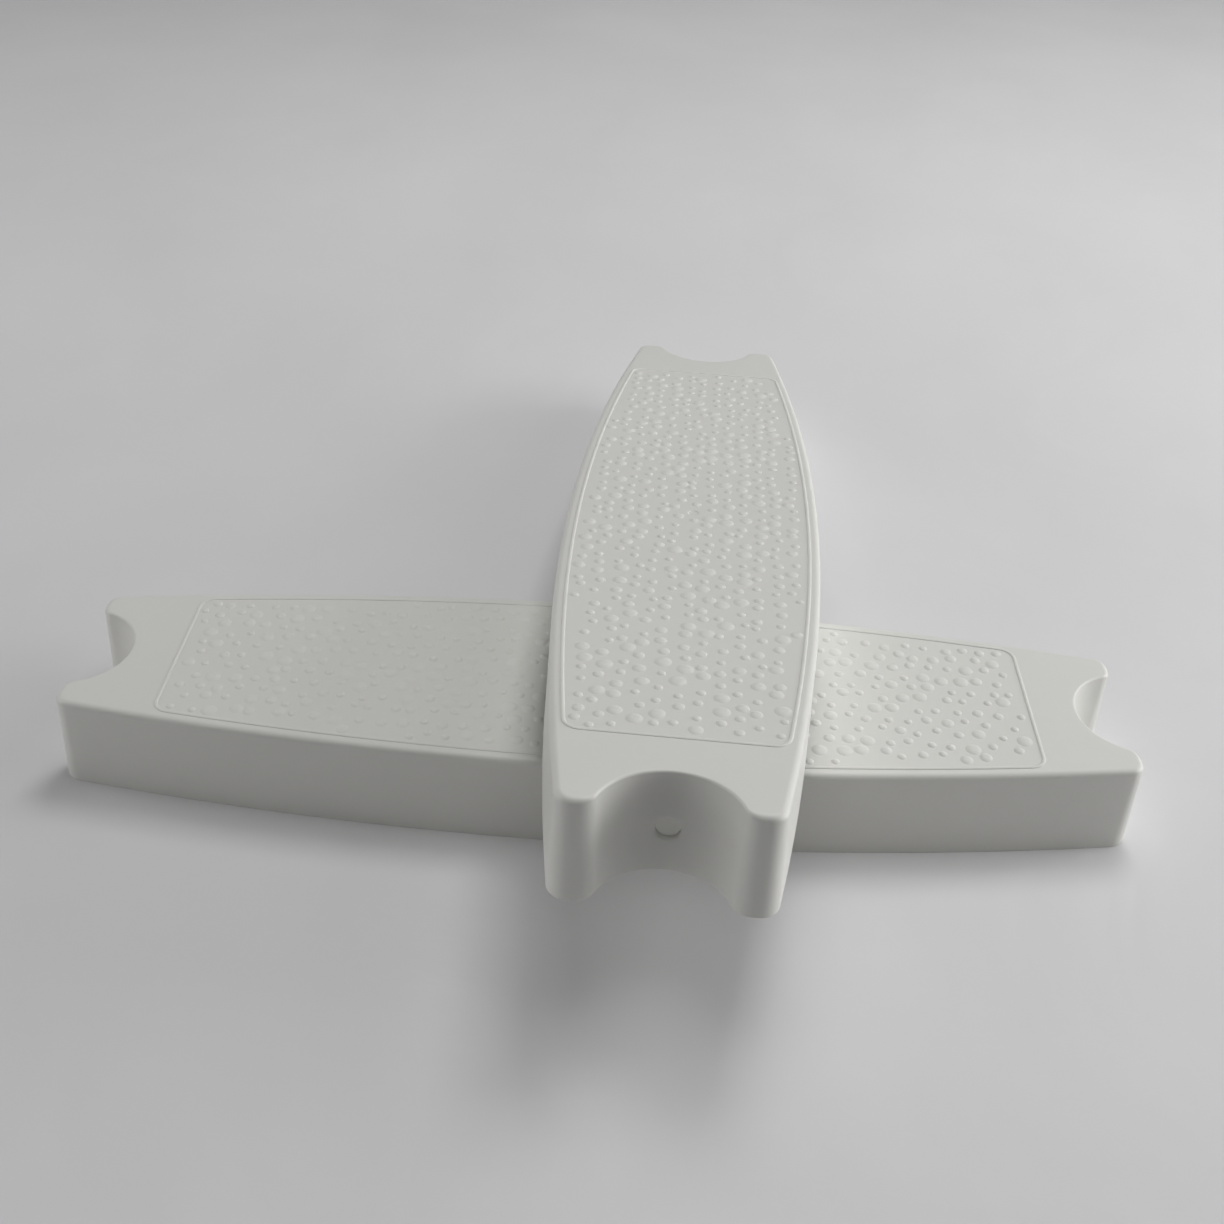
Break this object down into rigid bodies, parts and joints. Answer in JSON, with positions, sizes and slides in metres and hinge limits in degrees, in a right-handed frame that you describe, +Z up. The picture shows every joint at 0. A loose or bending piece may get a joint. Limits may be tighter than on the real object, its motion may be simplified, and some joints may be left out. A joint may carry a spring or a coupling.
{
  "type": "pool ladder treads",
  "caption": "Pair of moulded plastic pool ladder treads with non-slip dotted decks and hollowed rail seats, laid crosswise.",
  "frame": {"origin": "on the floor, under the centre of the box that holds both treads", "axes": "+X along the lower tread, +Y from the upper tread's raised front end to its lower back end, +Z up"},
  "size_m": [0.5024, 0.5058, 0.1154],
  "materials": {
    "white_abs": "satin moulded ABS, slightly warm white"
  },
  "bodies": {
    "lower": {"lower_tread": "white_abs"},
    "upper": {"upper_tread": "white_abs"}
  },
  "joints": [
    {"name": "upper_lift", "type": "slide", "parent": "lower", "child": "upper", "axis": [0, 0, 1], "range_m": [0, 0.15]}
  ]
}
